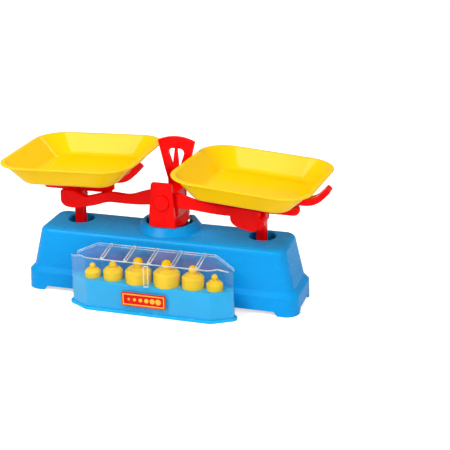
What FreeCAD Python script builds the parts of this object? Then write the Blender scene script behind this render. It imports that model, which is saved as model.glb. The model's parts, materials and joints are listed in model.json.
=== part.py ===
import FreeCAD, Part
import math
import os

os.makedirs("parts", exist_ok=True)
V = FreeCAD.Vector

# Toy balance scale. Millimetres, +X to the right, +Y to the back, +Z up, floor at z = 0. Everything is
# drawn about the centre of the base, the beam group level and then turned to its resting tilt. On
# writing, the whole is moved along X and Y so that the origin is the bottom centre of its bounding box.

# ---- base housing ----
BASE_L = 258.0            # foot length (X)
BASE_W = 62.5             # foot width (Y)
BASE_H = 59.5             # height of the top face
TOP_L = 230.0             # length of the top face
TOP_W = 53.5              # width of the top face
PLINTH_H = 17.0           # height of the foot's upright band
LEDGE_H = 5.0             # height of the sloped ledge above it
LEDGE_X = 4.5             # how far the ledge steps in along X
LEDGE_Y = 2.75            # how far it steps in along Y
FOOT_DRAFT = 0.5          # draft of the upright band, per side
CORNER_R = 12.0           # vertical corner radius at the foot
TOP_EDGE_R = 5.0          # rounding of the top edge
WALL = 2.2                # wall of the housing
ARCH_H = 4.0              # height of the arches between the feet
FOOT_X = 17.0             # length of each foot along X
FOOT_Y = 14.0             # length of each foot along Y
RIB_T = 1.6               # stiffening ribs under the top
RIB_DEPTH = 9.0

# ---- post line, pivots and travel ----
AXIS_Y = 8.25             # the beam and both posts stand on this line
POST_X = 87.5             # half distance between the two posts
HOLE_R = 11.9             # post holes in the top face
GUIDE_DEPTH = 12.0        # collar under each post hole
PIVOT_Z = 90.0            # main pivot
END_DROP = 11.0           # end pivots sit this far below the main pivot
LINK_Z = 34.0             # centre pivot of the lower link
REST_TILT = 1.9           # resting tilt of the beam, right side down
SEAT_GAP = 0.3            # gap between faces that move past each other
FIT_GAP = 0.05            # radial clearance of a pin in its bore

# ---- collar and column ----
COLLAR_R1 = 30.0
COLLAR_R2 = 25.0
COLLAR_H = 6.7
COLLAR_INNER_R = 22.0
COLLAR_BACK = 0.8         # the collar is cut off flat this far inside the top's back edge
COLUMN_X = 25.8           # width of the column at its foot
COLUMN_TOP_X = 19.4       # width at the top of the front cheek
COLUMN_D = 44.0           # depth over both ends of the foot
COLUMN_Y = 24.5           # depth of the bearing block behind the beam
COLUMN_TOP = 108.0        # top of the front cheek
DECK_Z = 76.0             # top of the foot, the beam passes above it
BODY_TOP = 96.5           # top of the bearing block
CHEEK_T = 3.0             # thickness of the front cheek
COLUMN_WALL = 2.4
FLARE_X = 34.0
FLARE_Y = 34.0
SHANK_X = 25.4
SHANK_Y = 19.4
FORK_Z = 44.0             # above this height the shank is closed on all four sides
KEY_T = 3.0
KEY_W = 6.0
KEY_L = 37.0

# ---- beam ----
BEAM_Y = -17.0            # front face of the beam from the post line
BEAM_T = 4.4
HUB_R = 8.0               # hub of the beam at the main pivot
END_BOSS_R = 6.0          # bosses behind the beam that carry the stems
END_BOSS_IN = 1.6         # depth of the beam left in front of an end pin
# outlines of the level beam; heights from the main pivot, x of the end blocks from their post
LEFT_LOW = ((-12.3, -9.8), (-11.6, -13.4), (-9.6, -16.0), (-5.7, -17.6), (1.2, -17.7), (14.1, -14.8),
            (23.9, -11.9), (34.6, -8.1), (41.4, -7.6))
LEFT_TOP = ((12.3, -5.2), (18.5, -3.6), (25.1, -1.3), (34.8, 1.2), (44.5, 1.5))
ARM_LEFT_LOW = ((-36.4, -7.4), (-23.9, -6.7), (-12.5, -5.3), (0.0, -5.0))
ARM_LEFT_TOP = ((-32.3, 1.7), (-22.8, 5.0), (-14.2, 8.1), (0.0, 9.2))
ARM_RIGHT_LOW = ((12.5, -5.2), (25.3, -5.4), (40.9, -6.3))
ARM_RIGHT_TOP = ((14.2, 8.0), (25.0, 5.0), (38.0, 3.0))
RIGHT_LOW = ((-25.1, -9.0), (-23.6, -12.7), (-20.1, -15.3), (-14.5, -17.2), (-8.9, -18.3), (-4.3, -19.0),
             (-1.2, -17.6), (0.8, -13.7), (1.3, -9.4))
BLOCK_TOP = -1.2          # top of the left end block, from the main pivot
RIGHT_TOP = 1.3           # top of the right end block
MAIN_PIN_R = 3.0
END_PIN_R = 2.5
LOW_PIN_R = 2.0
HEAD_R = 7.5
HEAD_T = 2.0
NEEDLE_Y = 17.6           # front face of the needle from the post line
NEEDLE_T = 2.0
NEEDLE_TIP = 130.0

# ---- pointer window ----
WINDOW_T = 3.0
WINDOW_TOP = 138.6        # height of its arched top
ARCH_R = 41.0             # radius of that arch
WINDOW_HALF = 17.7        # half width below the arch
WAIST_HALF = 11.1         # half width at the waist
WAIST_Z = 107.0
LEG_HALF = 8.5            # half width of the leg
OPEN_TOP = 127.6
OPEN_LOW = 110.5
PEG_R = 1.6               # pegs that hold the window to the column
PEG_X = 5.0
PEG_Z = 71.5

# ---- stems and cradles ----
STEM_W = 8.6
STEM_BOTTOM = 14.0
BAR_Z = 86.0              # underside of the crossbar
BAR_H = 6.5
BAR_HALF = 34.5
BAR_W = 12.0
LINK_T = 4.0              # thickness of the lower link
STRAP_TOP = 101.7         # face that carries the pan
STRAP_H = 5.5
STRAP_W = 12.0
STRAP_CORNER = 47.0       # where the flat strap would meet its upturned end
BEND_R = 17.0             # inner radius of that bend
STRAP_RISE = 47.5         # angle of the upturned ends, degrees
STRAP_TIP = 9.5           # straight length of the upturned ends
SIDE_STRAP = 32.0         # half length of the cross strap along Y

# ---- pans ----
PAN_RIM_X = 127.0
PAN_RIM_Y = 120.0
PAN_FLOOR_X = 86.0
PAN_FLOOR_Y = 92.0
PAN_H = 19.8
PAN_WALL = 1.8
PAN_RIM_R = 26.0
PAN_FLOOR_R = 15.0
PAN_EDGE_R = 8.0          # rounding between floor and wall
PAN_LIP = 1.4
PAN_LIP_H = 1.6
PAN_SHIFT_Y = -3.0
PAN_TIP = {"left": 2.1, "right": 3.3}   # resting tip of each pan, inner side up, degrees
PAN_YAW = {"left": 0.0, "right": -3.5}  # how far each pan is turned in its cradle, degrees

# ---- weight box ----
BOX_X = 1.0
BOX_HALF = 84.0           # half length over the pointed ends, before rounding
BOX_FLAT = 58.0           # half length of the straight front
BOX_DEPTH = 30.4
BOX_R = 6.0
FLANGE_H = 2.4
FLANGE_OUT = 1.2
COVER_WALL = 1.2
TRAY_TOP = 27.0
TRAY_WALL = 1.8
POCKET_FLOOR = 18.0
COVER_FRONT = 49.5        # roof height at the front
COVER_BACK = 54.0         # roof height at the back
COVER_RIB_X = (-42.0, -20.0, 2.0, 24.0, 46.0)
LABEL_L = 41.0
LABEL_H = 13.0
LABEL_Z = 15.0
LABEL_T = 0.8
# each weight: x, radius, shoulder height, knob radius, top height
WEIGHTS = (
    (-56.0, 7.2, 35.0, 2.6, 39.5),
    (-36.5, 8.7, 38.0, 3.2, 43.0),
    (-12.6, 11.6, 40.0, 4.4, 49.0),
    (14.0, 11.8, 41.0, 4.6, 49.5),
    (38.2, 9.8, 39.5, 3.8, 47.0),
    (58.0, 7.2, 35.5, 2.8, 41.0),
)

# ---- derived ----
END_Z = PIVOT_Z - END_DROP
LINK_END_Z = LINK_Z - END_DROP
FOOT_Z = BASE_H + COLLAR_H + SEAT_GAP     # the column's foot hangs just above the collar
STEM_HALF = STEM_W / 2.0
SLOT_W = LINK_T + 2 * SEAT_GAP
BOX_BACK = -BASE_W / 2.0 - SEAT_GAP       # the box stands against the front of the base


def rounded(length, width, radius, z, cx=0.0, cy=0.0):
    """Closed wire: a rectangle with round corners, level at height z."""
    hx = length / 2.0
    hy = width / 2.0
    r = min(radius, hx - 0.01, hy - 0.01)
    k = r * (1 - math.sqrt(0.5))
    edges = []
    corners = ((1, -1), (1, 1), (-1, 1), (-1, -1))
    points = []
    for sx, sy in corners:
        if sx * sy < 0:
            a = V(cx + sx * (hx - r), cy + sy * hy, z)
            b = V(cx + sx * hx, cy + sy * (hy - r), z)
        else:
            a = V(cx + sx * hx, cy + sy * (hy - r), z)
            b = V(cx + sx * (hx - r), cy + sy * hy, z)
        m = V(cx + sx * (hx - k), cy + sy * (hy - k), z)
        points.append((a, m, b))
    for i, (a, m, b) in enumerate(points):
        edges.append(Part.Arc(a, m, b).toShape())
        edges.append(Part.makeLine(b, points[(i + 1) % 4][0]))
    return Part.Wire(edges)


def loft(wires):
    return Part.makeLoft(wires, True, True)


def block(x0, x1, y0, y1, z0, z1):
    return Part.makeBox(x1 - x0, y1 - y0, z1 - z0, V(x0, y0, z0))


def rod_y(x, z, r, y0, y1):
    """Cylinder along Y, placed from the post line."""
    return Part.makeCylinder(r, y1 - y0, V(x, AXIS_Y + y0, z), V(0, 1, 0))


def outline(points, y0, y1):
    """Prism along Y over a closed XZ outline of straight lines."""
    path = [V(x, AXIS_Y + y0, z) for x, z in points]
    face = Part.Face(Part.makePolygon(path + [path[0]]))
    return face.extrude(V(0, y1 - y0, 0))


def fuse_all(shapes):
    return shapes[0].multiFuse(shapes[1:]).removeSplitter()


def edges_where(shape, test):
    return [e for e in shape.Edges if test(e)]


def level_edge(e, z):
    return all(abs(v.Z - z) < 1e-4 for v in e.Vertexes)


def upright_edge(e):
    if len(e.Vertexes) < 2:
        return False
    a = e.Vertexes[0].Point
    b = e.Vertexes[-1].Point
    return abs(a.x - b.x) < 1e-4 and abs(a.y - b.y) < 1e-4


def turned(shape):
    """Turn a part of the beam group from level to its resting tilt."""
    out = shape.copy()
    out.rotate(V(0, AXIS_Y, PIVOT_Z), V(0, 1, 0), REST_TILT)
    return out


def turned_low(shape):
    out = shape.copy()
    out.rotate(V(0, AXIS_Y, LINK_Z), V(0, 1, 0), REST_TILT)
    return out


def carrier_shift(side):
    """How far a carrier moves, without turning, when the beam takes its resting tilt."""
    t = math.radians(REST_TILT)
    x = side * POST_X
    dx = x * math.cos(t) - END_DROP * math.sin(t) - x
    dz = -x * math.sin(t) - END_DROP * math.cos(t) + END_DROP
    return V(dx, 0, dz)


def carried(shape, side):
    out = shape.copy()
    out.translate(V(side * POST_X, 0, 0) + carrier_shift(side))
    return out


# ------------------------------------------------------------------ base housing

def housing_sections(inset, z_bottom, z_top):
    ledge_top = PLINTH_H + LEDGE_H
    wall_top = BASE_H
    lower_l = BASE_L - 2 * FOOT_DRAFT - 2 * LEDGE_X
    lower_w = BASE_W - 2 * FOOT_DRAFT - 2 * LEDGE_Y
    share = (z_top - ledge_top) / (wall_top - ledge_top)
    end_l = lower_l + (TOP_L - lower_l) * share
    end_w = lower_w + (TOP_W - lower_w) * share
    rows = (
        (BASE_L, BASE_W, CORNER_R, z_bottom),
        (BASE_L - 2 * FOOT_DRAFT, BASE_W - 2 * FOOT_DRAFT, CORNER_R, PLINTH_H),
        (lower_l, lower_w, CORNER_R - 1.5, ledge_top),
        (end_l, end_w, CORNER_R - 2.0, z_top),
    )
    return [rounded(l - 2 * inset, w - 2 * inset, r - inset, z) for l, w, r, z in rows]


def collar():
    cone = Part.makeCone(COLLAR_R1, COLLAR_R2, COLLAR_H, V(0, AXIS_Y, BASE_H))
    depth = WALL + 0.4
    skirt = Part.makeCylinder(COLLAR_R1, depth, V(0, AXIS_Y, BASE_H - depth))
    body = cone.fuse(skirt)
    keep = block(-60, 60, -60, TOP_W / 2.0 - COLLAR_BACK, 0, BASE_H + COLLAR_H + 5)
    return body.common(keep)


def arches():
    """Cutters for the low arches between the four feet."""
    hx = BASE_L / 2.0 - FOOT_X
    hy = BASE_W / 2.0 - FOOT_Y
    long_arch = [(-hx, -1), (hx, -1), (hx - ARCH_H, ARCH_H), (-hx + ARCH_H, ARCH_H)]
    front = outline(long_arch, -BASE_W, BASE_W)
    side = block(-BASE_L, BASE_L, -hy + 2, hy - 2, -1, ARCH_H)
    flare = block(-BASE_L, BASE_L, -hy, hy, -1, ARCH_H / 2.0)
    return front.fuse(side).fuse(flare)


def base_housing():
    outer = loft(housing_sections(0.0, 0.0, BASE_H))
    outer = outer.makeFillet(TOP_EDGE_R, edges_where(outer, lambda e: level_edge(e, BASE_H)))
    inner = loft(housing_sections(WALL, 0.0, BASE_H - WALL))
    ceiling = BASE_H - WALL
    shell = outer.cut(inner)
    extras = [collar()]
    for side in (-1, 1):
        tube = Part.makeCylinder(HOLE_R + WALL, GUIDE_DEPTH, V(side * POST_X, AXIS_Y, ceiling - GUIDE_DEPTH + 0.5))
        extras.append(tube)
        for x in (36.0, 60.0, 106.0):
            half = TOP_W / 2.0
            extras.append(block(side * x - RIB_T / 2, side * x + RIB_T / 2, -half, half,
                                ceiling - RIB_DEPTH, ceiling + 0.5))
    socket_x = SHANK_X + 2 * SEAT_GAP
    socket_y = SHANK_Y + 2 * SEAT_GAP
    extras.append(block(-socket_x / 2 - WALL, socket_x / 2 + WALL, AXIS_Y - socket_y / 2 - WALL,
                        AXIS_Y + socket_y / 2 + WALL, ceiling - 5.0, ceiling + 0.5))
    long_y = AXIS_Y - TOP_W / 2.0 + 0.5
    extras.append(block(-106.0, 106.0, long_y - RIB_T / 2, long_y + RIB_T / 2, ceiling - 5.0, ceiling + 0.5))
    limits = loft(housing_sections(WALL - 0.5, 0.0, BASE_H - WALL + 0.5))
    inside = fuse_all(extras[1:]).common(limits)
    shell = fuse_all([shell, inside, extras[0]])
    cutters = [arches(), Part.makeCylinder(COLLAR_INNER_R, COLLAR_H + 1, V(0, AXIS_Y, BASE_H))]
    cutters.append(block(-socket_x / 2, socket_x / 2, AXIS_Y - socket_y / 2, AXIS_Y + socket_y / 2, 20, BASE_H + 1))
    for side in (-1, 1):
        cutters.append(Part.makeCylinder(HOLE_R, 60, V(side * POST_X, AXIS_Y, 20)))
        cutters.append(Part.makeCone(HOLE_R, HOLE_R + 1.0, 1.0, V(side * POST_X, AXIS_Y, BASE_H - 1.0)))
    return shell.cut(cutters[0].multiFuse(cutters[1:])).removeSplitter()


# ------------------------------------------------------------------ column

def column_width(z):
    """Width of the column's tapered front at height z."""
    share = (z - FOOT_Z) / (COLUMN_TOP - FOOT_Z)
    return COLUMN_X + (COLUMN_TOP_X - COLUMN_X) * share


def column_part(depth, radius, z0, z1):
    """Tapered block of the column, centred on the post line."""
    return loft([rounded(column_width(z0), depth, radius, z0, 0, AXIS_Y),
                 rounded(column_width(z1), depth, radius, z1, 0, AXIS_Y)])


def column():
    """Hollow yoke: shank, foot above the collar, bearing block and a front cheek; the beam swings between."""
    y = AXIS_Y
    w = COLUMN_WALL
    front = -COLUMN_D / 2
    foot = column_part(COLUMN_D, 2.5, FOOT_Z, DECK_Z)
    foot = foot.makeFillet(1.0, edges_where(foot, lambda e: level_edge(e, DECK_Z)))
    body = column_part(COLUMN_Y, 2.0, DECK_Z - 2, BODY_TOP)
    body = body.makeFillet(1.2, edges_where(body, lambda e: level_edge(e, BODY_TOP)))
    flare = loft([rounded(FLARE_X, FLARE_Y, 11.0, FOOT_Z, 0, y),
                  rounded(column_width(FOOT_Z + 6) - 0.4, FLARE_Y - 4, 3.0, FOOT_Z + 6, 0, y)])
    low_half = column_width(DECK_Z - 2) / 2
    top_half = COLUMN_TOP_X / 2
    low_z = DECK_Z - 2
    cheek = outline([(-low_half, low_z), (low_half, low_z), (top_half, COLUMN_TOP), (-top_half, COLUMN_TOP)],
                    front, front + CHEEK_T)
    corners = edges_where(cheek, lambda e: level_edge(e, COLUMN_TOP) and abs(e.Length - CHEEK_T) < 1e-4)
    cheek = cheek.makeFillet(2.0, corners)
    neck = block(-SHANK_X / 2, SHANK_X / 2, y - 13.5, y + 13.5, BASE_H, FOOT_Z + 1)
    shank = block(-SHANK_X / 2, SHANK_X / 2, y - SHANK_Y / 2, y + SHANK_Y / 2, FORK_Z, BASE_H + 1)
    solid = fuse_all([foot, body, flare, cheek, neck, shank])
    cavity = block(-SHANK_X / 2 + w, SHANK_X / 2 - w, y - SHANK_Y / 2 + w, y + SHANK_Y / 2 - w, FORK_Z - 1, DECK_Z)
    foot_half = column_width(DECK_Z) / 2 - w
    foot_room = block(-foot_half, foot_half, y + front + w, y - front - w, FOOT_Z + w, DECK_Z - w)
    body_half = column_width(BODY_TOP) / 2 - w
    body_room = block(-body_half, body_half, y - COLUMN_Y / 2 + w, y + COLUMN_Y / 2 - w, DECK_Z - w - 1, BODY_TOP - w)
    solid = solid.cut(fuse_all([cavity, foot_room, body_room]))
    cheek_r = 9.0
    adds = [rod_y(0, PIVOT_Z, 5.2, -COLUMN_Y / 2 + 0.2, COLUMN_Y / 2 - 0.2)]
    adds.append(block(-0.8, 0.8, y - SHANK_Y / 2 + 1, y + SHANK_Y / 2 - 1, BASE_H + 1, PIVOT_Z))
    for s in (-1, 1):
        y_out = s * SHANK_Y / 2
        y_in = s * (SHANK_Y / 2 - w)
        lo = min(y_out, y_in)
        hi = max(y_out, y_in)
        adds.append(block(-cheek_r, cheek_r, y + lo, y + hi, LINK_Z, FORK_Z + 0.5))
        adds.append(rod_y(0, LINK_Z, cheek_r, lo, hi))
        b0 = s * (LINK_T / 2 + SEAT_GAP)
        adds.append(rod_y(0, LINK_Z, 5.0, min(b0, y_out), max(b0, y_out)))
    solid = fuse_all([solid] + adds)
    cuts = [rod_y(0, PIVOT_Z, MAIN_PIN_R + FIT_GAP, -30, 30), rod_y(0, LINK_Z, END_PIN_R + FIT_GAP, -30, 30)]
    key_z = BASE_H - WALL - 5.0 - 0.2 - KEY_T
    cuts.append(block(-30, 30, y - KEY_W / 2 - 0.1, y + KEY_W / 2 + 0.1, key_z - 0.1, key_z + KEY_T + 0.1))
    for x in (-PEG_X, PEG_X):
        cuts.append(rod_y(x, PEG_Z, PEG_R + FIT_GAP, COLUMN_D / 2 - 3, COLUMN_D / 2 + 1))
    return solid.cut(cuts[0].multiFuse(cuts[1:])).removeSplitter()


def column_key():
    key_z = BASE_H - WALL - 5.0 - 0.2 - KEY_T
    key = block(-KEY_L / 2, KEY_L / 2, AXIS_Y - KEY_W / 2, AXIS_Y + KEY_W / 2, key_z, key_z + KEY_T)
    ends = edges_where(key, upright_edge)
    return key.makeFillet(1.5, ends)


def pin_y(x, z, r, y0, y1):
    """Plain pin along Y with chamfered ends."""
    pin = rod_y(x, z, r, y0, y1)
    return pin.makeChamfer(0.4, edges_where(pin, lambda e: e.Closed))


# ------------------------------------------------------------------ beam

def beam_profile():
    """XZ face of the level beam: a wavy left arm, a straight right arm and a deep block at each end."""

    def at(x, z):
        return V(x, 0, PIVOT_Z + z)

    def spline(points):
        curve = Part.BSplineCurve()
        curve.interpolate(points)
        return curve.toShape()

    left_low = [at(-POST_X + x, z) for x, z in LEFT_LOW] + [at(x, z) for x, z in ARM_LEFT_LOW]
    right_low = [at(x, z) for x, z in ARM_LEFT_LOW[-1:] + ARM_RIGHT_LOW] + [at(POST_X - 25.5, -6.5)]
    block_low = [at(POST_X + x, z) for x, z in RIGHT_LOW]
    left_top = [at(-POST_X + x, z) for x, z in LEFT_TOP] + [at(x, z) for x, z in ARM_LEFT_TOP]
    right_top = [at(x, z) for x, z in ARM_LEFT_TOP[-1:] + ARM_RIGHT_TOP] + [at(POST_X - 25.5, RIGHT_TOP + 0.3)]
    edges = [spline(left_low), spline(right_low), spline(block_low), spline(left_top), spline(right_top)]
    edges.append(Part.makeLine(right_low[-1], block_low[0]))
    x_right = POST_X + RIGHT_LOW[-1][0]
    edges.append(Part.makePolygon([block_low[-1], at(x_right, RIGHT_TOP - 2.2), at(x_right - 0.7, RIGHT_TOP - 0.7),
                                   at(x_right - 2.2, RIGHT_TOP), right_top[-1]]))
    x_left = -POST_X + LEFT_LOW[0][0]
    edges.append(Part.makePolygon([left_low[0], at(x_left, BLOCK_TOP - 2.2), at(x_left + 0.7, BLOCK_TOP - 0.7),
                                   at(x_left + 2.2, BLOCK_TOP), at(-POST_X, BLOCK_TOP), left_top[0]]))
    flat = []
    for e in edges:
        flat.extend(e.Edges)
    return Part.Face(Part.Wire(Part.__sortEdges__(flat)))


def beam():
    """One bar in front of the posts, with a hub at the middle and a boss behind each end."""
    face = beam_profile()
    face.translate(V(0, AXIS_Y + BEAM_Y, 0))
    bar = face.extrude(V(0, BEAM_T, 0))
    front = edges_where(bar, lambda e: all(abs(v.Y - AXIS_Y - BEAM_Y) < 1e-4 for v in e.Vertexes))
    bar = bar.makeFillet(0.7, front)
    cheek_in = -COLUMN_D / 2 + CHEEK_T + SEAT_GAP
    parts = [bar, rod_y(0, PIVOT_Z, HUB_R, cheek_in, -COLUMN_Y / 2 - SEAT_GAP)]
    cuts = [rod_y(0, PIVOT_Z, MAIN_PIN_R + FIT_GAP, -30, 30)]
    for s in (-1, 1):
        parts.append(rod_y(s * POST_X, END_Z, END_BOSS_R, BEAM_Y + 1.0, -STEM_HALF - SEAT_GAP))
        cuts.append(rod_y(s * POST_X, END_Z, END_PIN_R + FIT_GAP, BEAM_Y + END_BOSS_IN, 0))
    return fuse_all(parts).cut(cuts[0].multiFuse(cuts[1:])).removeSplitter()


def beam_pivot_pin():
    front = -COLUMN_D / 2
    shaft = rod_y(0, PIVOT_Z, MAIN_PIN_R, front - 0.5, NEEDLE_Y + NEEDLE_T + 1.2)
    head = rod_y(0, PIVOT_Z, HEAD_R, front - HEAD_T, front)
    rim = edges_where(head, lambda e: e.Closed and abs(e.Vertexes[0].Y - AXIS_Y - front + HEAD_T) < 1e-4)
    head = head.makeFillet(HEAD_T * 0.6, rim)
    return fuse_all([shaft, head])


def pivot_cap():
    y0 = NEEDLE_Y + NEEDLE_T
    y1 = y0 + 2.1
    cap = rod_y(0, PIVOT_Z, 5.5, y0, y1)
    rear = edges_where(cap, lambda e: e.Closed and abs(e.Vertexes[0].Y - AXIS_Y - y1) < 1e-4)
    cap = cap.makeFillet(0.8, rear)
    return cap.cut(rod_y(0, PIVOT_Z, MAIN_PIN_R + FIT_GAP, y0 - 1, y0 + 1.3))


def pointer_needle():
    y0 = NEEDLE_Y
    y1 = NEEDLE_Y + NEEDLE_T
    ring = rod_y(0, PIVOT_Z, 6.5, y0, y1)
    spacer = rod_y(0, PIVOT_Z, 5.0, COLUMN_Y / 2 + SEAT_GAP, y0 + 0.5)
    mid_z = PIVOT_Z + (NEEDLE_TIP - PIVOT_Z) * 0.6
    blade = outline([(-4.0, PIVOT_Z), (4.0, PIVOT_Z), (2.8, mid_z), (1.1, NEEDLE_TIP), (-1.1, NEEDLE_TIP),
                     (-2.8, mid_z)], y0, y1)
    body = fuse_all([ring, spacer, blade])
    return body.cut(rod_y(0, PIVOT_Z, MAIN_PIN_R + FIT_GAP, -5, y1 + 1))


def pointer_window():
    """Tall plate on the back of the column: a leg, an arched head and the opening the needle shows in."""
    y0 = COLUMN_D / 2
    y1 = y0 + WINDOW_T
    foot_z = FOOT_Z + 1.0
    centre_z = WINDOW_TOP - ARCH_R
    arch_z = centre_z + math.sqrt(ARCH_R ** 2 - WINDOW_HALF ** 2)

    def p(x, z):
        return V(x, AXIS_Y + y0, z)

    left = [p(-WINDOW_HALF, arch_z), p(-WAIST_HALF, WAIST_Z), p(-LEG_HALF, WAIST_Z - 9), p(-LEG_HALF, foot_z)]
    right = [p(LEG_HALF, foot_z), p(LEG_HALF, WAIST_Z - 9), p(WAIST_HALF, WAIST_Z), p(WINDOW_HALF, arch_z)]
    edges = [Part.makePolygon(left + right)]
    edges.append(Part.Arc(right[-1], p(0, WINDOW_TOP), left[0]).toShape())
    plate = Part.Face(Part.Wire(edges)).extrude(V(0, WINDOW_T, 0))
    hole = outline([(-9.0, OPEN_TOP), (9.0, OPEN_TOP), (3.4, OPEN_LOW), (-3.4, OPEN_LOW)], y0 - 1, y1 + 1)
    along = edges_where(hole, lambda e: abs(e.Length - WINDOW_T - 2) < 1e-4)
    hole = hole.makeFillet(4.2, [e for e in along if e.Vertexes[0].Z > OPEN_LOW + 1])
    along = edges_where(hole, lambda e: abs(e.Length - WINDOW_T - 2) < 1e-4 and level_edge(e, OPEN_LOW))
    hole = hole.makeFillet(2.4, along)
    plate = plate.cut(hole)
    adds = [rod_y(x, PEG_Z, PEG_R, y0 - 2.2, y0 + 0.5) for x in (-PEG_X, PEG_X)]
    for i in (-1, 0, 1):
        reach = OPEN_TOP - PIVOT_Z + 2.5
        tall = 4.5 if i == 0 else 3.0
        low = PIVOT_Z + reach
        tick = block(-0.5, 0.5, AXIS_Y + y0 - 0.5, AXIS_Y + y0 + 0.5, low, low + tall)
        tick.rotate(V(0, AXIS_Y, PIVOT_Z), V(0, 1, 0), 6.0 * i)
        adds.append(tick)
    return fuse_all([plate] + adds)


# ------------------------------------------------------------------ lower link

def lower_link():
    t = LINK_T / 2.0
    arm = [(0, LINK_Z + 5.5)]
    tip = [(POST_X, LINK_END_Z + 3.6), (POST_X, LINK_END_Z - 3.6)]
    left = [(-POST_X, LINK_END_Z - 3.6), (-POST_X, LINK_END_Z + 3.6)]
    bar = outline(arm + tip + [(0, LINK_Z - 5.5)] + left, -t, t)
    hub = rod_y(0, LINK_Z, 6.5, -t, t)
    ends = [rod_y(s * POST_X, LINK_END_Z, 5.0, -t, t) for s in (-1, 1)]
    body = fuse_all([bar, hub] + ends)
    cuts = [rod_y(0, LINK_Z, END_PIN_R + FIT_GAP, -10, 10)]
    for s in (-1, 1):
        cuts.append(rod_y(s * POST_X, LINK_END_Z, LOW_PIN_R + FIT_GAP, -10, 10))
        a = (s * 13.0, LINK_Z - END_DROP * 13.0 / POST_X)
        b = (s * (POST_X - 12.0), LINK_Z - END_DROP * (POST_X - 12.0) / POST_X)
        for y0, y1 in ((-t - 1, -t + 1.2), (t - 1.2, t + 1)):
            groove = [(a[0], a[1] + 3.0), (b[0], b[1] + 2.0), (b[0], b[1] - 2.0), (a[0], a[1] - 3.0)]
            cuts.append(outline(groove, y0, y1))
    return body.cut(cuts[0].multiFuse(cuts[1:])).removeSplitter()


# ------------------------------------------------------------------ stems and cradles (drawn on the post axis)

def crossbar():
    r = BAR_H / 2.0
    z = BAR_Z + r
    flat = BAR_HALF - BAR_W / 2.0
    side_view = block(-BAR_HALF + r, BAR_HALF - r, AXIS_Y - BAR_W / 2, AXIS_Y + BAR_W / 2, BAR_Z, BAR_Z + BAR_H)
    side_view = fuse_all([side_view] + [rod_y(s * (BAR_HALF - r), z, r, -BAR_W / 2, BAR_W / 2) for s in (-1, 1)])
    plan = [block(-flat, flat, AXIS_Y - BAR_W / 2, AXIS_Y + BAR_W / 2, BAR_Z - 1, BAR_Z + BAR_H + 1)]
    for s in (-1, 1):
        plan.append(Part.makeCylinder(BAR_W / 2, BAR_H + 2, V(s * flat, AXIS_Y, BAR_Z - 1)))
    return side_view.common(fuse_all(plan))


def stem():
    h = STEM_W / 2.0
    shaft = block(-h, h, AXIS_Y - h, AXIS_Y + h, STEM_BOTTOM, BAR_Z + 1)
    shaft = shaft.makeFillet(1.2, edges_where(shaft, upright_edge))
    tube = rod_y(0, END_Z, 5.0, -h, h + 3.0)
    body = fuse_all([shaft, tube, crossbar()])
    cuts = [rod_y(0, END_Z, END_PIN_R + FIT_GAP, -30, 30), rod_y(0, LINK_END_Z, LOW_PIN_R + FIT_GAP, -30, 30)]
    cuts.append(block(-h - 1, h + 1, AXIS_Y - SLOT_W / 2, AXIS_Y + SLOT_W / 2, STEM_BOTTOM - 1, LINK_END_Z + 7.5))
    for s in (-1, 1):
        x0 = s * (h - 2.2)
        x1 = s * (h + 1.0)
        cuts.append(block(min(x0, x1), max(x0, x1), AXIS_Y - 2.0, AXIS_Y + 2.0, LINK_END_Z + 12, END_Z - 9))
    cuts.append(Part.makeCylinder(3.0 + FIT_GAP, 4.5, V(0, AXIS_Y, BAR_Z + BAR_H - 4.0)))
    return body.cut(cuts[0].multiFuse(cuts[1:])).removeSplitter()


def strap_side(top_drop, thickness, extra):
    """XZ outline of the upturned strap; top_drop and thickness are measured square to its face."""
    a = math.radians(STRAP_RISE)
    cx = STRAP_CORNER - BEND_R * math.tan(a / 2)
    cz = STRAP_TOP + BEND_R
    r_in = BEND_R + top_drop
    r_out = r_in + thickness
    tip = STRAP_TIP + extra

    def on(r, angle, run=0.0):
        x = cx + r * math.sin(angle) + run * math.cos(angle)
        z = cz - r * math.cos(angle) + run * math.sin(angle)
        return V(x, 0, z)

    def flip(v):
        return V(-v.x, 0, v.z)

    edges = []
    for m in (lambda v: v, flip):
        edges.append(Part.Arc(m(on(r_in, 0)), m(on(r_in, a / 2)), m(on(r_in, a))).toShape())
        edges.append(Part.makeLine(m(on(r_in, a)), m(on(r_in, a, tip))))
        edges.append(Part.makeLine(m(on(r_in, a, tip)), m(on(r_out, a, tip))))
        edges.append(Part.makeLine(m(on(r_out, a, tip)), m(on(r_out, a))))
        edges.append(Part.Arc(m(on(r_out, a)), m(on(r_out, a / 2)), m(on(r_out, 0))).toShape())
    edges.append(Part.makeLine(flip(on(r_in, 0)), on(r_in, 0)))
    edges.append(Part.makeLine(flip(on(r_out, 0)), on(r_out, 0)))
    return Part.Face(Part.Wire(Part.__sortEdges__(edges)))


def strip(face, half):
    out = face.copy()
    out.translate(V(0, AXIS_Y - half, 0))
    return out.extrude(V(0, 2 * half, 0))


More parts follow.
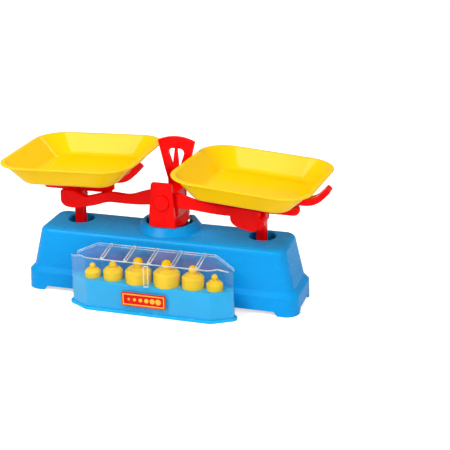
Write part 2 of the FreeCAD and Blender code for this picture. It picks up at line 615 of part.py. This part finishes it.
def cradle():
    """Cross-shaped carrier: an upturned channel strap, a short cross strap and a foot on the crossbar."""
    strap = strip(strap_side(0.0, STRAP_H, 0.0), STRAP_W / 2)
    tips = edges_where(strap, lambda e: abs(e.Length - STRAP_W) < 1e-3 and min(v.Z for v in e.Vertexes) > STRAP_TOP + 6)
    strap = strap.makeFillet(1.6, tips)
    channel = strip(strap_side(2.2, STRAP_H, -2.0), STRAP_W / 2 - 2.0)
    strap = strap.cut(channel)
    low = STRAP_TOP - STRAP_H
    base_z = BAR_Z + BAR_H
    hub = Part.makeCylinder(13.0, STRAP_H, V(0, AXIS_Y, low))
    foot = loft([rounded(18.0, BAR_W, 2.5, base_z, 0, AXIS_Y), rounded(22.0, BAR_W, 2.5, low + 0.5, 0, AXIS_Y)])
    cross = loft([rounded(10.0, 2 * SIDE_STRAP - 3, 4.9, STRAP_TOP - 3.6, 0, AXIS_Y),
                  rounded(12.0, 2 * SIDE_STRAP, 5.9, STRAP_TOP, 0, AXIS_Y)])
    peg = Part.makeCylinder(3.0, 4.0, V(0, AXIS_Y, base_z - 3.6))
    ribs = [block(-1.0, 1.0, AXIS_Y - SIDE_STRAP + 4, AXIS_Y + SIDE_STRAP - 4, low + 0.6, STRAP_TOP - 1)]
    ribs.append(block(-STRAP_CORNER + 6, STRAP_CORNER - 6, AXIS_Y - 0.8, AXIS_Y + 0.8, low + 0.6, STRAP_TOP - 1))
    return fuse_all([strap, hub, foot, cross, peg] + ribs)


# ------------------------------------------------------------------ pans

def pan_tray():
    """Tray with flared walls, drawn with its underside on z = 0."""
    rim_x = PAN_RIM_X - 2 * PAN_LIP
    rim_y = PAN_RIM_Y - 2 * PAN_LIP
    outer = loft([rounded(PAN_FLOOR_X, PAN_FLOOR_Y, PAN_FLOOR_R, 0), rounded(rim_x, rim_y, PAN_RIM_R, PAN_H)])
    outer = outer.makeFillet(PAN_EDGE_R, edges_where(outer, lambda e: level_edge(e, 0)))
    slope = (rim_x - PAN_FLOOR_X) / 2.0 / PAN_H
    wall_x = PAN_WALL * math.sqrt(1 + slope ** 2)
    low_x = PAN_FLOOR_X - 2 * wall_x + 2 * slope * PAN_WALL
    low_y = PAN_FLOOR_Y - 2 * wall_x + 2 * slope * PAN_WALL
    inner = loft([rounded(low_x, low_y, PAN_FLOOR_R - 0.5, PAN_WALL),
                  rounded(rim_x - 2 * wall_x + 2 * slope, rim_y - 2 * wall_x + 2 * slope, PAN_RIM_R - 1.5, PAN_H + 1)])
    inner = inner.makeFillet(PAN_EDGE_R - PAN_WALL, edges_where(inner, lambda e: level_edge(e, PAN_WALL)))
    lip = loft([rounded(PAN_RIM_X, PAN_RIM_Y, PAN_RIM_R + 1.0, PAN_H - PAN_LIP_H),
                rounded(PAN_RIM_X, PAN_RIM_Y, PAN_RIM_R + 1.0, PAN_H)])
    lip = lip.makeFillet(0.6, edges_where(lip, lambda e: level_edge(e, PAN_H) or level_edge(e, PAN_H - PAN_LIP_H)))
    return fuse_all([outer, lip]).cut(inner).removeSplitter()


def pan_pose(name):
    """Tip angle, inward shift and height that bring the tipped pan to rest in its cradle."""
    tip = math.radians(PAN_TIP[name])
    a = math.radians(STRAP_RISE)
    rim_x = PAN_RIM_X - 2 * PAN_LIP
    wall = math.atan2(PAN_H, (rim_x - PAN_FLOOR_X) / 2.0)
    local = PAN_FLOOR_X / 2.0 - PAN_EDGE_R * math.tan(wall / 2)
    r = PAN_EDGE_R + SEAT_GAP
    rise = 2 * local * math.sin(tip)
    reach = STRAP_CORNER + ((r + rise) * math.cos(a) - r) / math.sin(a)
    slack = STRAP_W / 2.0 * abs(math.sin(math.radians(PAN_YAW[name])))
    shift = reach - local * math.cos(tip) + PAN_EDGE_R * math.sin(tip) - slack
    mid_z = STRAP_TOP + r + rise / 2.0 - PAN_EDGE_R * math.cos(tip)
    return math.degrees(tip), shift, mid_z


def pan(name):
    side = -1 if name == "left" else 1
    tip, shift, mid_z = pan_pose(name)
    tray = pan_tray()
    tray.rotate(V(0, 0, 0), V(0, 0, 1), PAN_YAW[name])
    tray.rotate(V(0, 0, 0), V(0, 1, 0), side * tip)
    tray.translate(V(-side * shift, AXIS_Y + PAN_SHIFT_Y, mid_z))
    return carried(tray, side)


# ------------------------------------------------------------------ weight box

def boat(inset, z, r_less=0.0):
    """Long six-sided plan with round corners, level at height z."""
    depth = BOX_DEPTH - 2 * inset
    y0 = BOX_BACK - BOX_DEPTH / 2.0
    half = BOX_HALF - inset * 1.15
    flat = BOX_FLAT - inset * 0.3
    pts = [(half, 0), (flat, depth / 2), (-flat, depth / 2), (-half, 0), (-flat, -depth / 2), (flat, -depth / 2)]
    n = len(pts)
    r = BOX_R - r_less
    arcs = []
    for i in range(n):
        px, py = pts[i]
        ax, ay = pts[i - 1]
        bx, by = pts[(i + 1) % n]
        ua = V(ax - px, ay - py, 0).normalize()
        ub = V(bx - px, by - py, 0).normalize()
        half_angle = math.acos(max(-1.0, min(1.0, ua.dot(ub)))) / 2.0
        run = r / math.tan(half_angle)
        mid = (ua + ub).normalize()
        centre = mid * (r / math.sin(half_angle))
        near = centre - mid * r
        base = V(BOX_X + px, y0 + py, z)
        arcs.append((base + ua * run, base + near, base + ub * run))
    edges = []
    for i, (a, m, b) in enumerate(arcs):
        edges.append(Part.Arc(a, m, b).toShape())
        edges.append(Part.makeLine(b, arcs[(i + 1) % n][0]))
    return Part.Wire(edges)


def box_mid_y():
    return BOX_BACK - BOX_DEPTH / 2.0


def weight_tray():
    wall_in = FLANGE_OUT + COVER_WALL + SEAT_GAP
    flange = loft([boat(0, 0), boat(0, FLANGE_H)])
    flange = flange.makeFillet(0.7, edges_where(flange, lambda e: level_edge(e, FLANGE_H)))
    body = loft([boat(wall_in, FLANGE_H - 1, 1.5), boat(wall_in + 0.35, TRAY_TOP, 1.5)])
    body = body.makeFillet(0.8, edges_where(body, lambda e: level_edge(e, TRAY_TOP)))
    solid = fuse_all([flange, body])
    hollow = loft([boat(wall_in + TRAY_WALL, 0, 3), boat(wall_in + TRAY_WALL + 0.35, TRAY_TOP - TRAY_WALL, 3)])
    solid = solid.cut(hollow)
    cups = []
    holes = []
    limits = loft([boat(wall_in + 0.4, 0, 2), boat(wall_in + 0.6, TRAY_TOP - 0.5, 2)])
    for x, r, shoulder, knob, top in WEIGHTS:
        cups.append(Part.makeCylinder(r + SEAT_GAP + TRAY_WALL, TRAY_TOP - POCKET_FLOOR + TRAY_WALL - 0.5,
                                      V(BOX_X + x, box_mid_y(), POCKET_FLOOR - TRAY_WALL)))
        holes.append(Part.makeCylinder(r + SEAT_GAP, 20, V(BOX_X + x, box_mid_y(), POCKET_FLOOR)))
    walls = [block(BOX_X + x - RIB_T / 2, BOX_X + x + RIB_T / 2, box_mid_y() - 20, box_mid_y() + 20, 1.5, TRAY_TOP - 1)
             for x in (-46.3, -25.3, 0.6, 27.8, 49.5)]
    inside = fuse_all(cups + walls).common(limits)
    solid = fuse_all([solid, inside])
    return solid.cut(holes[0].multiFuse(holes[1:])).removeSplitter()


def cover_block(inset, drop):
    """Solid body of the cover: upright walls, a roof that rises to the back and sloped ends."""
    wall = FLANGE_OUT + inset
    top = COVER_BACK + 6
    body = loft([boat(wall, FLANGE_H, inset), boat(wall, TRAY_TOP, inset), boat(wall + 0.8, top, inset)])
    y_front = BOX_BACK - BOX_DEPTH - 5
    y_back = BOX_BACK + 5
    rise = (COVER_BACK - COVER_FRONT) / BOX_DEPTH
    zf = COVER_FRONT - 5 * rise - drop
    zb = COVER_BACK + 5 * rise - drop
    side = [V(-120, y_front, 0), V(-120, y_back, 0), V(-120, y_back, zb), V(-120, y_front, zf)]
    roof = Part.Face(Part.makePolygon(side + [side[0]])).extrude(V(240, 0, 0))
    body = body.common(roof)
    ends = [V(BOX_X + x, -120, z) for x, z in ((-100, 0), (100, 0), (100, 37 - drop), (48, 56 - drop),
                                               (-48, 56 - drop), (-100, 37 - drop))]
    slopes = Part.Face(Part.makePolygon(ends + [ends[0]])).extrude(V(0, 200, 0))
    return body.common(slopes)


def weight_cover():
    outer = cover_block(0.0, 0.0)
    inner = cover_block(COVER_WALL, COVER_WALL)
    front_y = BOX_BACK - BOX_DEPTH + FLANGE_OUT
    ribs = []
    for x in COVER_RIB_X:
        bar = block(BOX_X + x - 1.3, BOX_X + x + 1.3, front_y + 1.5, BOX_BACK - FLANGE_OUT - 1.5, 40, 60)
        ribs.append(bar.common(cover_block(0.0, -0.9)))
    ribs.append(block(BOX_X - 2.6, BOX_X + 1.4, front_y - 0.7, front_y + 0.6, TRAY_TOP + 1, COVER_FRONT - 2))
    pad = block(BOX_X - LABEL_L / 2 - 4, BOX_X + LABEL_L / 2 - 2, front_y - 0.5, front_y + 0.5,
                LABEL_Z - LABEL_H / 2 - 1, LABEL_Z + LABEL_H / 2 + 1)
    body = fuse_all([outer] + ribs + [pad])
    return body.cut(inner).removeSplitter()


def label_plate():
    front_y = BOX_BACK - BOX_DEPTH + FLANGE_OUT - 0.5
    x = BOX_X - 3.0
    plate = block(x - LABEL_L / 2, x + LABEL_L / 2, front_y - LABEL_T, front_y, LABEL_Z - LABEL_H / 2, LABEL_Z + LABEL_H / 2)
    corners = edges_where(plate, lambda e: abs(e.Length - LABEL_T) < 1e-4)
    return plate.makeFillet(1.2, corners)


def weight(index):
    """Turned weight: chamfered body, waist and a round knob."""
    x, r, shoulder, knob, top = WEIGHTS[index]
    z0 = POCKET_FLOOR
    c = min(2.2, r * 0.28)
    neck = knob * 0.72
    knob_z = top - knob
    step = shoulder - z0

    def p(rad, z):
        return V(rad, 0, z)

    pts = [p(0, z0), p(r - 0.8, z0), p(r, z0 + 0.8), p(r, shoulder - c - 1.2), p(r - c, shoulder - 1.2),
           p(r * 0.62, shoulder - 1.2), p(r * 0.62 - 0.8, shoulder), p(neck, shoulder)]
    join = knob_z - math.sqrt(max(knob ** 2 - neck ** 2, 0.0))
    join = max(join, shoulder + 0.2)
    edges = [Part.makePolygon(pts + [p(neck, join)])]
    angle = math.asin(max(-1.0, min(1.0, (join - knob_z) / knob)))
    start = p(knob * math.cos(angle), join)
    if abs(start.x - neck) > 1e-6:
        edges.append(Part.makeLine(p(neck, join), start))
    mid_angle = (angle + math.pi / 2) / 2.0
    edges.append(Part.Arc(start, p(knob * math.cos(mid_angle), knob_z + knob * math.sin(mid_angle)), p(0, top)).toShape())
    edges.append(Part.makeLine(p(0, top), p(0, z0)))
    solid = Part.Face(Part.Wire(edges)).revolve(V(0, 0, 0), V(0, 0, 1), 360)
    dish = Part.makeCone(r * 0.6, r * 0.5, step * 0.35, V(0, 0, z0))
    solid = solid.cut(dish)
    solid.translate(V(BOX_X + x, box_mid_y(), 0))
    return solid


# ------------------------------------------------------------------ write one file per piece

def pieces():
    out = {
        "base_housing": base_housing(),
        "column": column(),
        "column_key": column_key(),
        "pointer_window": pointer_window(),
        "beam": turned(beam()),
        "beam_pivot_pin": turned(beam_pivot_pin()),
        "pivot_cap": turned(pivot_cap()),
        "pointer_needle": turned(pointer_needle()),
        "lower_link": turned_low(lower_link()),
        "lower_pivot_pin": pin_y(0, LINK_Z, END_PIN_R, -SHANK_Y / 2, SHANK_Y / 2),
        "weight_tray": weight_tray(),
        "weight_cover": weight_cover(),
        "label_plate": label_plate(),
    }
    for name, side in (("left", -1), ("right", 1)):
        pin_front = BEAM_Y + END_BOSS_IN + 0.1
        out[name + "_end_pin"] = turned(pin_y(side * POST_X, END_Z, END_PIN_R, pin_front, STEM_HALF + 3.0))
        out[name + "_lower_pin"] = carried(pin_y(0, LINK_END_Z, LOW_PIN_R, -STEM_HALF, STEM_HALF), side)
        out[name + "_stem"] = carried(stem(), side)
        out[name + "_cradle"] = carried(cradle(), side)
        out[name + "_pan"] = pan(name)
    for i in range(len(WEIGHTS)):
        out["weight_%d" % (i + 1)] = weight(i)
    return out


def centring(shapes):
    """Shift that brings the bottom centre of the overall box to the origin."""
    boxes = [s.optimalBoundingBox(False, False) for s in shapes]
    x = min(b.XMin for b in boxes) + max(b.XMax for b in boxes)
    y = min(b.YMin for b in boxes) + max(b.YMax for b in boxes)
    return V(-x / 2.0, -y / 2.0, 0)


SHAPES = pieces()
SHIFT = centring(SHAPES.values())
for node, shape in SHAPES.items():
    shape.translate(SHIFT)
    shape.exportStep("parts/%s.step" % node)
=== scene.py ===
import json
import math

import bmesh
import bpy
from mathutils import Matrix, Vector


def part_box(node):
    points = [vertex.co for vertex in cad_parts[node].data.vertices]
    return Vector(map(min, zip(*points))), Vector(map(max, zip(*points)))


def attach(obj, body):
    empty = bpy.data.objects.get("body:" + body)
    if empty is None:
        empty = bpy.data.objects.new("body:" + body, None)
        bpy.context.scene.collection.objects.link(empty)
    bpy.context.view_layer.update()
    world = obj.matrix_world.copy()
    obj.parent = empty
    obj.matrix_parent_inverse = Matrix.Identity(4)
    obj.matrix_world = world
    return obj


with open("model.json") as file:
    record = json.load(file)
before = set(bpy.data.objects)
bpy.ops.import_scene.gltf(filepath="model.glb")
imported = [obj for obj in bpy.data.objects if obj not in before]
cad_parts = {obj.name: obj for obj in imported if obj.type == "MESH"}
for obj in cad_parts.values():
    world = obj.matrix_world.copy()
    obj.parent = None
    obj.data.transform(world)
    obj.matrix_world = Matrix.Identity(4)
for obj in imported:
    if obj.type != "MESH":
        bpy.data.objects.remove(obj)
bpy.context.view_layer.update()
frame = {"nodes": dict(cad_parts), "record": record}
MM = 0.001

# ---- camera, measured about the centre of the base ----
CAM_AZIMUTH = 16.353
CAM_ELEVATION = 20.652
CAM_ROLL = -0.363
CAM_DISTANCE = 1072.5 * MM
CAM_TARGET = (52.515 * MM, 8.25 * MM, 66.055 * MM)
CAM_LENS = 94.944
CAM_SENSOR = 36.0

# ---- light ----
WORLD_STRENGTH = 0.36
KEY_POWER = 13.0
FILL_POWER = 7.0
BACK_POWER = 3.0

# ---- colours (linear) ----
HOUSING_BLUE = (0.0030, 0.300, 0.740)
TRAY_BLUE = (0.010, 0.420, 0.780)
RED = (0.960, 0.0012, 0.0008)
YELLOW = (1.000, 0.610, 0.0015)
LABEL_RED = (0.700, 0.012, 0.008)
LABEL_YELLOW = (1.000, 0.520, 0.050)
FLOOR = (0.86, 0.86, 0.86)
CLEAR = (0.86, 0.95, 0.98)
SPECULAR = 0.09
FLOOR_LIFT = 0.60


# ------------------------------------------------------------------ materials

def new_material(name):
    mat = bpy.data.materials.new(name)
    mat.use_nodes = True
    tree = mat.node_tree
    tree.nodes.clear()
    out = tree.nodes.new("ShaderNodeOutputMaterial")
    return mat, tree, out


def shade(color, factor):
    return tuple(min(1.0, c * factor) for c in color[:3]) + (1.0,)


def noise(tree, scale, detail=4.0, coords=None, stretch=None):
    """Noise in object coordinates; stretch scales the axes one by one."""
    node = tree.nodes.new("ShaderNodeTexNoise")
    node.inputs["Scale"].default_value = scale
    node.inputs["Detail"].default_value = detail
    source = coords
    if stretch:
        mapping = tree.nodes.new("ShaderNodeMapping")
        mapping.inputs["Scale"].default_value = stretch
        tree.links.new(coords, mapping.inputs["Vector"])
        source = mapping.outputs["Vector"]
    tree.links.new(source, node.inputs["Vector"])
    return node.outputs["Fac"]


def ramp(tree, fac, stops):
    node = tree.nodes.new("ShaderNodeValToRGB")
    elements = node.color_ramp.elements
    while len(elements) < len(stops):
        elements.new(0.5)
    for element, (place, color) in zip(elements, stops):
        element.position = place
        element.color = color
    tree.links.new(fac, node.inputs["Fac"])
    return node.outputs["Color"]


def moulded(name, color, rough=0.22, tone=0.10, swirl=18.0, grain=900.0, bump=0.04, stretch=(1, 1, 1)):
    """Glossy moulded plastic: faint flow marks in the colour, uneven gloss and a very fine skin."""
    mat, tree, out = new_material(name)
    bsdf = tree.nodes.new("ShaderNodeBsdfPrincipled")
    coords = tree.nodes.new("ShaderNodeTexCoord").outputs["Object"]
    flow = noise(tree, swirl, 3.0, coords, stretch)
    stops = [(0.30, shade(color, 1.0 - tone)), (0.52, shade(color, 1.0)), (0.75, shade(color, 1.0 + tone * 0.6))]
    tree.links.new(ramp(tree, flow, stops), bsdf.inputs["Base Color"])
    smear = noise(tree, swirl * 5.0, 5.0, coords, stretch)
    low = (rough * 0.8,) * 3 + (1.0,)
    high = (min(1.0, rough * 1.35),) * 3 + (1.0,)
    tree.links.new(ramp(tree, smear, [(0.35, low), (0.70, high)]), bsdf.inputs["Roughness"])
    skin = noise(tree, grain, 2.0, coords)
    relief = tree.nodes.new("ShaderNodeBump")
    relief.inputs["Strength"].default_value = bump
    relief.inputs["Distance"].default_value = 0.0004
    tree.links.new(skin, relief.inputs["Height"])
    tree.links.new(relief.outputs["Normal"], bsdf.inputs["Normal"])
    bsdf.inputs["Specular IOR Level"].default_value = SPECULAR
    tree.links.new(bsdf.outputs["BSDF"], out.inputs["Surface"])
    mat.diffuse_color = color + (1.0,)
    return mat


def clear_plastic(name):
    """Thin clear moulding: see-through, and shinier where it is seen edge on."""
    mat, tree, out = new_material(name)
    glass = tree.nodes.new("ShaderNodeBsdfTransparent")
    glass.inputs["Color"].default_value = (0.97, 0.99, 1.0, 1.0)
    skin = tree.nodes.new("ShaderNodeBsdfGlossy")
    coords = tree.nodes.new("ShaderNodeTexCoord").outputs["Object"]
    haze = noise(tree, 60.0, 4.0, coords)
    tree.links.new(ramp(tree, haze, [(0.3, (0.80, 0.90, 0.95, 1)), (0.7, (0.95, 0.99, 1.0, 1))]),
                   skin.inputs["Color"])
    skin.inputs["Roughness"].default_value = 0.06
    edge = tree.nodes.new("ShaderNodeLayerWeight")
    edge.inputs["Blend"].default_value = 0.22
    grade = tree.nodes.new("ShaderNodeMapRange")
    grade.inputs["From Min"].default_value = 0.0
    grade.inputs["From Max"].default_value = 1.0
    grade.inputs["To Min"].default_value = 0.008
    grade.inputs["To Max"].default_value = 0.26
    tree.links.new(edge.outputs["Facing"], grade.inputs["Value"])
    mix = tree.nodes.new("ShaderNodeMixShader")
    tree.links.new(grade.outputs["Result"], mix.inputs["Fac"])
    tree.links.new(glass.outputs["BSDF"], mix.inputs[1])
    tree.links.new(skin.outputs["BSDF"], mix.inputs[2])
    tree.links.new(mix.outputs["Shader"], out.inputs["Surface"])
    mat.diffuse_color = CLEAR + (0.3,)
    return mat


def fold_highlight_plastic(name):
    """Painted highlight for the folds of the clear plastic: a pale, half see-through line whose painted brightness is
    uneven.
    """
    mat, tree, out = new_material(name)
    glass = tree.nodes.new("ShaderNodeBsdfTransparent")
    glass.inputs["Color"].default_value = (0.97, 0.99, 1.0, 1.0)
    skin = tree.nodes.new("ShaderNodeBsdfPrincipled")
    coords = tree.nodes.new("ShaderNodeTexCoord").outputs["Object"]
    # noise that makes the painted highlight brighter in some places than in others
    uneven = noise(tree, 90.0, 3.0, coords)
    tree.links.new(ramp(tree, uneven, [(0.3, (0.78, 0.88, 0.93, 1)), (0.7, (1.0, 1.0, 1.0, 1))]),
                   skin.inputs["Base Color"])
    skin.inputs["Roughness"].default_value = 0.12
    grade = ramp(tree, uneven, [(0.3, (0.35, 0.35, 0.35, 1)), (0.7, (0.75, 0.75, 0.75, 1))])
    mix = tree.nodes.new("ShaderNodeMixShader")
    tree.links.new(grade, mix.inputs["Fac"])
    tree.links.new(glass.outputs["BSDF"], mix.inputs[1])
    tree.links.new(skin.outputs["BSDF"], mix.inputs[2])
    tree.links.new(mix.outputs["Shader"], out.inputs["Surface"])
    mat.diffuse_color = CLEAR + (0.6,)
    return mat


def floor_material():
    """Pale floor that keeps the object's shadow; to the camera it is lifted to white."""
    mat, tree, out = new_material("studio_floor")
    diffuse = tree.nodes.new("ShaderNodeBsdfDiffuse")
    coords = tree.nodes.new("ShaderNodeTexCoord").outputs["Object"]
    mottled = noise(tree, 3.0, 2.0, coords)
    tree.links.new(ramp(tree, mottled, [(0.3, shade(FLOOR, 0.99)), (0.7, shade(FLOOR, 1.0))]), diffuse.inputs["Color"])
    glow = tree.nodes.new("ShaderNodeEmission")
    glow.inputs["Color"].default_value = (1, 1, 1, 1)
    path = tree.nodes.new("ShaderNodeLightPath")
    either = tree.nodes.new("ShaderNodeMath")
    either.operation = "MAXIMUM"
    tree.links.new(path.outputs["Is Camera Ray"], either.inputs[0])
    tree.links.new(path.outputs["Is Transmission Ray"], either.inputs[1])
    lift = tree.nodes.new("ShaderNodeMath")
    lift.operation = "MULTIPLY"
    lift.inputs[1].default_value = FLOOR_LIFT
    tree.links.new(either.outputs["Value"], lift.inputs[0])
    tree.links.new(lift.outputs["Value"], glow.inputs["Strength"])
    add = tree.nodes.new("ShaderNodeAddShader")
    tree.links.new(diffuse.outputs["BSDF"], add.inputs[0])
    tree.links.new(glow.outputs["Emission"], add.inputs[1])
    tree.links.new(add.outputs["Shader"], out.inputs["Surface"])
    return mat


def dress(obj, mat):
    obj.data.materials.clear()
    obj.data.materials.append(mat)


def mesh_object(name, mesh, mat, body):
    obj = bpy.data.objects.new(name, mesh)
    bpy.context.scene.collection.objects.link(obj)
    dress(obj, mat)
    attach(obj, body)
    return obj


# ------------------------------------------------------------------ dress the CAD nodes

def dress_nodes():
    nodes = frame["nodes"]
    blue = moulded("housing_blue_moulded", HOUSING_BLUE, rough=0.26, swirl=14.0, stretch=(0.6, 0.6, 1.6))
    tray = moulded("tray_blue_moulded", TRAY_BLUE, rough=0.24, swirl=22.0)
    red = moulded("red_moulded", RED, rough=0.20, tone=0.12, swirl=25.0)
    yellow = moulded("yellow_moulded", YELLOW, rough=0.16, tone=0.06, swirl=12.0)
    gold = moulded("weight_yellow_moulded", shade(YELLOW, 0.98)[:3], rough=0.24, tone=0.10, swirl=40.0)
    label = moulded("label_red_satin", LABEL_RED, rough=0.35, tone=0.10, swirl=60.0)
    clear = clear_plastic("clear_moulded")
    by_slot = {"housing_blue": blue, "tray_blue": tray, "mech_red": red, "pan_yellow": yellow,
               "label_red": label, "clear_plastic": clear}
    slots = {s["node"]: s["material_slot"] for s in frame["record"]["subparts"]}
    for name, obj in nodes.items():
        mat = by_slot[slots[name]]
        if name.startswith("weight_") and slots[name] == "pan_yellow":
            mat = gold
        dress(obj, mat)
    return by_slot


# ------------------------------------------------------------------ label decoration

def label_decor(mats):
    """Raised frame and a row of dots that grow to the right, on the front of the label plate."""
    low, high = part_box("label_plate")
    y = low[1]
    frame_yellow = moulded("label_yellow_satin", LABEL_YELLOW, rough=0.35, swirl=70.0)
    proud = 0.35 * MM
    inset = 1.2 * MM
    bar = 0.9 * MM
    x0, x1 = low[0] + inset, high[0] - inset
    z0, z1 = low[2] + inset, high[2] - inset
    mesh = bpy.data.meshes.new("label_frame")
    bm = bmesh.new()
    outer = [(x0, z0), (x1, z0), (x1, z1), (x0, z1)]
    inner = [(x0 + bar, z0 + bar), (x1 - bar, z0 + bar), (x1 - bar, z1 - bar), (x0 + bar, z1 - bar)]
    front_o = [bm.verts.new((x, y - proud, z)) for x, z in outer]
    front_i = [bm.verts.new((x, y - proud, z)) for x, z in inner]
    back_o = [bm.verts.new((x, y + 0.1 * MM, z)) for x, z in outer]
    back_i = [bm.verts.new((x, y + 0.1 * MM, z)) for x, z in inner]
    for i in range(4):
        j = (i + 1) % 4
        bm.faces.new((front_o[i], front_o[j], front_i[j], front_i[i]))
        bm.faces.new((back_o[j], back_o[i], back_i[i], back_i[j]))
        bm.faces.new((front_o[j], front_o[i], back_o[i], back_o[j]))
        bm.faces.new((front_i[i], front_i[j], back_i[j], back_i[i]))
    bm.to_mesh(mesh)
    bm.free()
    border = mesh_object("label_frame", mesh, frame_yellow, "cover_group")
    bevel = border.modifiers.new("soft", "BEVEL")
    bevel.width = 0.15 * MM
    bevel.segments = 2
    mesh = bpy.data.meshes.new("label_dots")
    bm = bmesh.new()
    count = 6
    usable = (x1 - x0) - 2 * bar - 4 * MM
    zc = (z0 + z1) / 2
    for i in range(count):
        r = (1.1 + 0.32 * i) * MM
        x = x0 + bar + 2 * MM + usable * (i + 0.5) / count
        made = bmesh.ops.create_uvsphere(bm, u_segments=24, v_segments=12, radius=r)
        bmesh.ops.scale(bm, vec=(1, proud * 1.6 / r, 1), verts=made["verts"])
        bmesh.ops.translate(bm, vec=(x, y, zc), verts=made["verts"])
    for face in bm.faces:
        face.smooth = True
    bm.to_mesh(mesh)
    bm.free()
    mesh_object("label_dots", mesh, frame_yellow, "cover_group")


# ------------------------------------------------------------------ painted highlights along the folds of the clear cover

def tube_between(bm, a, b, radius, sides=6):
    """Short round bar from a to b."""
    run = b - a
    turn = run.to_track_quat("Z", "Y").to_matrix()
    rings = []
    for end in (a, b):
        ring = []
        for i in range(sides):
            angle = 2 * math.pi * i / sides
            ring.append(bm.verts.new(end + turn @ Vector((radius * math.cos(angle), radius * math.sin(angle), 0))))
        rings.append(ring)
    for i in range(sides):
        j = (i + 1) % sides
        bm.faces.new((rings[0][i], rings[0][j], rings[1][j], rings[1][i]))
    bm.faces.new(list(reversed(rings[0])))
    bm.faces.new(rings[1])


def cover_fold_highlights():
    """Follows the folds of the clear cover's own mesh with thin pale bars, set just inside the skin; the bars are
    painted highlights along the folds.
    """
    source = frame["nodes"]["weight_cover"]
    fold = bmesh.new()
    fold.from_mesh(source.data)
    fold.transform(source.matrix_world)
    bmesh.ops.remove_doubles(fold, verts=fold.verts, dist=0.01 * MM)
    low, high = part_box("weight_cover")
    middle = (Vector(low) + Vector(high)) / 2
    mesh = bpy.data.meshes.new("cover_fold_highlights")
    bm = bmesh.new()
    radius = 0.32 * MM
    for edge in fold.edges:
        if len(edge.link_faces) != 2 or edge.calc_length() < 0.6 * MM:
            continue
        if edge.calc_face_angle(0.0) < math.radians(24):
            continue
        a, b = edge.verts[0].co.copy(), edge.verts[1].co.copy()
        if max(a.z, b.z) < low[2] + 24 * MM:
            continue
        inward = (middle - (a + b) / 2).normalized() * (radius * 0.9)
        tube_between(bm, a + inward, b + inward, radius)
    for face in bm.faces:
        face.smooth = True
    bm.to_mesh(mesh)
    bm.free()
    fold.free()
    # the pale bars carry the painted highlight material for the folds
    mesh_object("cover_fold_highlights", mesh, fold_highlight_plastic("clear_fold_painted_highlight"), "cover_group")


# ------------------------------------------------------------------ stage, light and camera

def base_point(offset):
    """A point given from the bottom centre of the base, in the row frame."""
    low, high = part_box("base_housing")
    centre = (Vector(low) + Vector(high)) / 2
    return Vector((centre.x + offset[0], centre.y + offset[1], offset[2]))


def make_floor():
    mesh = bpy.data.meshes.new("floor")
    size = 6.0
    mesh.from_pydata([(-size, -size, 0), (size, -size, 0), (size, size, 0), (-size, size, 0)], [], [(0, 1, 2, 3)])
    obj = bpy.data.objects.new("floor", mesh)
    bpy.context.scene.collection.objects.link(obj)
    obj.location.z = -0.0002
    dress(obj, floor_material())


def area_light(name, place, aim, size, power, size_y=None):
    data = bpy.data.lights.new(name, "AREA")
    data.energy = power
    data.size = size
    if size_y:
        data.shape = "RECTANGLE"
        data.size_y = size_y
    obj = bpy.data.objects.new(name, data)
    bpy.context.scene.collection.objects.link(obj)
    obj.location = place
    direction = Vector(aim) - Vector(place)
    obj.rotation_euler = direction.to_track_quat("-Z", "Y").to_euler()
    return obj


def make_light():
    world = bpy.data.worlds.new("studio")
    bpy.context.scene.world = world
    world.use_nodes = True
    tree = world.node_tree
    tree.nodes.clear()
    out = tree.nodes.new("ShaderNodeOutputWorld")
    path = tree.nodes.new("ShaderNodeLightPath")
    soft = tree.nodes.new("ShaderNodeBackground")
    soft.inputs["Color"].default_value = (1, 1, 1, 1)
    soft.inputs["Strength"].default_value = WORLD_STRENGTH
    white = tree.nodes.new("ShaderNodeBackground")
    white.inputs["Color"].default_value = (1, 1, 1, 1)
    white.inputs["Strength"].default_value = 1.0
    mix = tree.nodes.new("ShaderNodeMixShader")
    tree.links.new(path.outputs["Is Camera Ray"], mix.inputs["Fac"])
    tree.links.new(soft.outputs["Background"], mix.inputs[1])
    tree.links.new(white.outputs["Background"], mix.inputs[2])
    tree.links.new(mix.outputs["Shader"], out.inputs["Surface"])
    aim = base_point((0, 0, 0.07))
    area_light("key", aim + Vector((-0.50, -0.75, 0.95)), aim, 0.60, KEY_POWER)
    area_light("fill", aim + Vector((0.95, -0.80, 0.55)), aim, 0.7, FILL_POWER)
    area_light("rear", aim + Vector((0.15, 0.95, 0.85)), aim, 0.8, BACK_POWER, 0.12)


def make_camera():
    a = math.radians(CAM_AZIMUTH)
    e = math.radians(CAM_ELEVATION)
    r = math.radians(CAM_ROLL)
    back = Vector((math.sin(a) * math.cos(e), -math.cos(a) * math.cos(e), math.sin(e)))
    right = (-back).cross(Vector((0, 0, 1))).normalized()
    up = right.cross(-back)
    right_r = right * math.cos(r) + up * math.sin(r)
    up_r = up * math.cos(r) - right * math.sin(r)
    place = base_point(CAM_TARGET) + back * CAM_DISTANCE
    data = bpy.data.cameras.new("camera")
    data.lens = CAM_LENS
    data.sensor_width = CAM_SENSOR
    data.clip_start = 0.05
    data.clip_end = 30.0
    obj = bpy.data.objects.new("camera", data)
    bpy.context.scene.collection.objects.link(obj)
    turn = Matrix((right_r, up_r, back)).transposed().to_4x4()
    obj.matrix_world = Matrix.Translation(place) @ turn
    bpy.context.scene.camera = obj


mats = dress_nodes()
label_decor(mats)
cover_fold_highlights()
make_floor()
make_light()
make_camera()
bpy.context.scene.view_settings.view_transform = "Standard"
